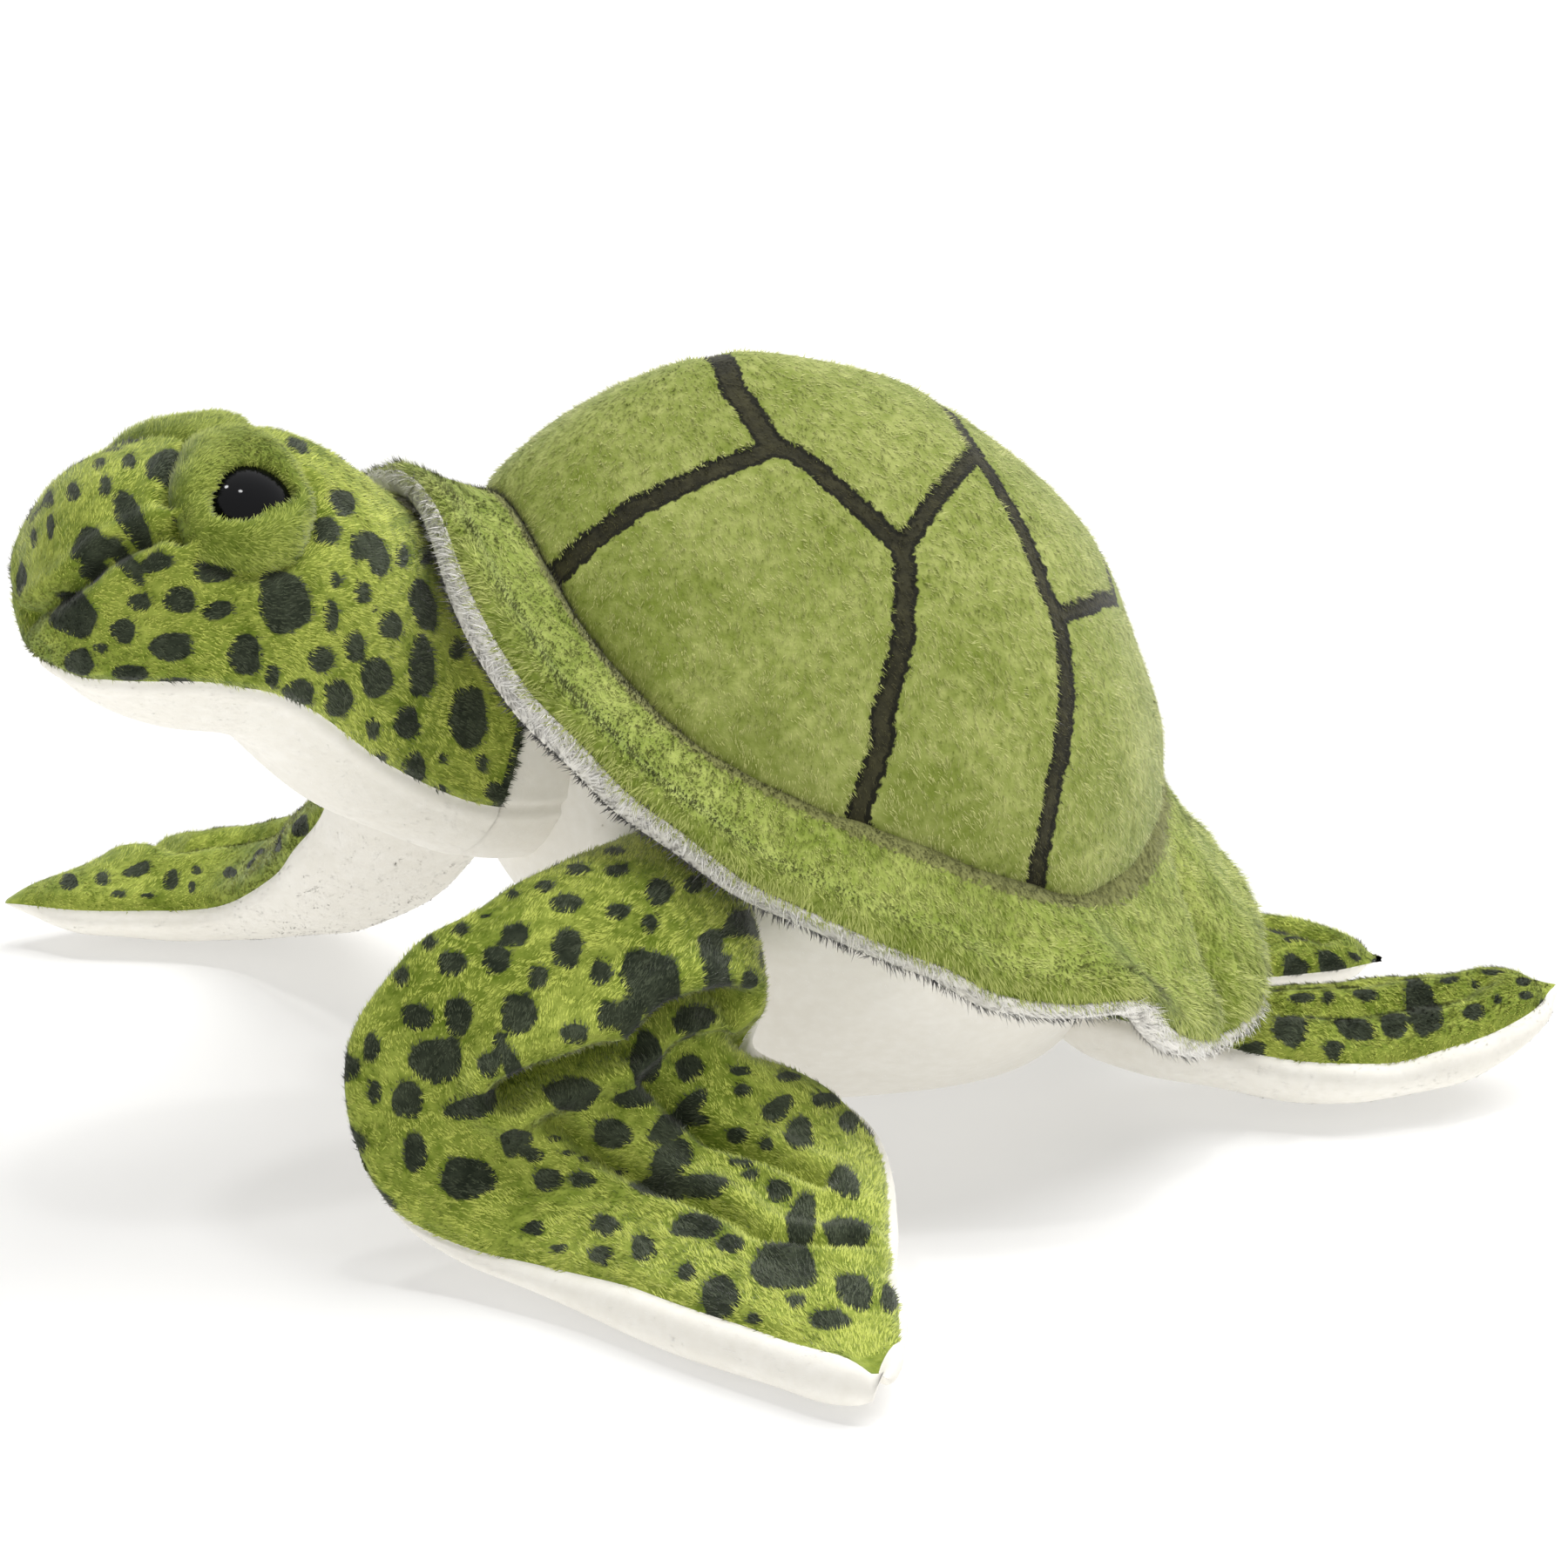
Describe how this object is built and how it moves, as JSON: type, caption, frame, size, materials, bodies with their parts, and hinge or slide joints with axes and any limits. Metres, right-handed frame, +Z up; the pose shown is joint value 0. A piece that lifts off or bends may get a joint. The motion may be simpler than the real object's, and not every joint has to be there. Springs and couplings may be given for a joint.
{
  "type": "plush toy",
  "caption": "Plush sea turtle that lies on its belly, with a stuffed domed shell, a head that nods and turns, and flippers that lift and swing.",
  "frame": {"origin": "on the flat of the belly where the toy rests, on the line from nose to tail", "axes": "+Z up, -X towards the nose, -Y towards the turtle's left"},
  "size_m": [0.2818, 0.2928, 0.1424],
  "materials": {
    "shell_green_pile": "short-pile plush, green",
    "rim_green_pile": "plush with a longer pile, green",
    "spotted_green_pile": "short-pile plush, green printed with dark spots",
    "plain_green_pile": "short-pile plush, plain green",
    "cream_pile": "short-pile plush, cream",
    "filling": "loose polyester fibre",
    "eye_plastic": "polished, black",
    "washer_plastic": "plain moulded, white"
  },
  "bodies": {
    "shell_and_belly": {"carapace_dome": "shell_green_pile", "carapace_rim_top": "rim_green_pile", "carapace_rim_underside": "cream_pile", "belly_panel": "cream_pile", "body_stuffing": "filling"},
    "neck_root": {"neck_wad": "filling"},
    "head": {"head_cover": "spotted_green_pile", "throat_panel": "cream_pile", "head_stuffing": "filling", "eye_left": "eye_plastic", "eye_patch_left": "plain_green_pile", "eye_washer_left": "washer_plastic", "eye_right": "eye_plastic", "eye_patch_right": "plain_green_pile", "eye_washer_right": "washer_plastic"},
    "front_flipper_root_left": {"front_flipper_wad_left": "filling"},
    "front_flipper_left": {"front_flipper_top_left": "spotted_green_pile", "front_flipper_underside_left": "cream_pile", "front_flipper_stuffing_left": "filling"},
    "front_flipper_root_right": {"front_flipper_wad_right": "filling"},
    "front_flipper_right": {"front_flipper_top_right": "spotted_green_pile", "front_flipper_underside_right": "cream_pile", "front_flipper_stuffing_right": "filling"},
    "rear_flipper_root_left": {"rear_flipper_wad_left": "filling"},
    "rear_flipper_left": {"rear_flipper_top_left": "spotted_green_pile", "rear_flipper_underside_left": "cream_pile", "rear_flipper_stuffing_left": "filling"},
    "rear_flipper_root_right": {"rear_flipper_wad_right": "filling"},
    "rear_flipper_right": {"rear_flipper_top_right": "spotted_green_pile", "rear_flipper_underside_right": "cream_pile", "rear_flipper_stuffing_right": "filling"}
  },
  "joints": [
    {"name": "head_nod", "type": "hinge", "parent": "shell_and_belly", "child": "neck_root", "pos_m": [-0.052, 0, 0.081], "axis": [0, 1, 0], "range_deg": [-14, 2], "stiffness_Nm_per_rad": 1},
    {"name": "head_turn", "type": "hinge", "parent": "neck_root", "child": "head", "pos_m": [-0.052, 0, 0.081], "axis": [0, 0, 1], "range_deg": [-8, 8], "stiffness_Nm_per_rad": 1},
    {"name": "front_flipper_lift_left", "type": "hinge", "parent": "shell_and_belly", "child": "front_flipper_root_left", "pos_m": [-0.042, -0.042, 0.056], "axis": [1, 0, 0], "range_deg": [-15, 15], "stiffness_Nm_per_rad": 0.3},
    {"name": "front_flipper_sweep_left", "type": "hinge", "parent": "front_flipper_root_left", "child": "front_flipper_left", "pos_m": [-0.042, -0.042, 0.056], "axis": [0, 0, 1], "range_deg": [-15, 15], "stiffness_Nm_per_rad": 0.3},
    {"name": "front_flipper_lift_right", "type": "hinge", "parent": "shell_and_belly", "child": "front_flipper_root_right", "pos_m": [-0.042, 0.042, 0.056], "axis": [1, 0, 0], "range_deg": [-15, 15], "stiffness_Nm_per_rad": 0.3},
    {"name": "front_flipper_sweep_right", "type": "hinge", "parent": "front_flipper_root_right", "child": "front_flipper_right", "pos_m": [-0.042, 0.042, 0.056], "axis": [0, 0, 1], "range_deg": [-15, 15], "stiffness_Nm_per_rad": 0.3},
    {"name": "rear_flipper_lift_left", "type": "hinge", "parent": "shell_and_belly", "child": "rear_flipper_root_left", "pos_m": [0.052, -0.032, 0.017], "axis": [0, 1, 0], "range_deg": [-10, 10], "stiffness_Nm_per_rad": 0.2},
    {"name": "rear_flipper_sweep_left", "type": "hinge", "parent": "rear_flipper_root_left", "child": "rear_flipper_left", "pos_m": [0.052, -0.032, 0.017], "axis": [0, 0, 1], "range_deg": [-15, 4], "stiffness_Nm_per_rad": 0.2},
    {"name": "rear_flipper_lift_right", "type": "hinge", "parent": "shell_and_belly", "child": "rear_flipper_root_right", "pos_m": [0.052, 0.032, 0.017], "axis": [0, 1, 0], "range_deg": [-10, 10], "stiffness_Nm_per_rad": 0.2},
    {"name": "rear_flipper_sweep_right", "type": "hinge", "parent": "rear_flipper_root_right", "child": "rear_flipper_right", "pos_m": [0.052, 0.032, 0.017], "axis": [0, 0, 1], "range_deg": [-4, 15], "stiffness_Nm_per_rad": 0.2}
  ]
}
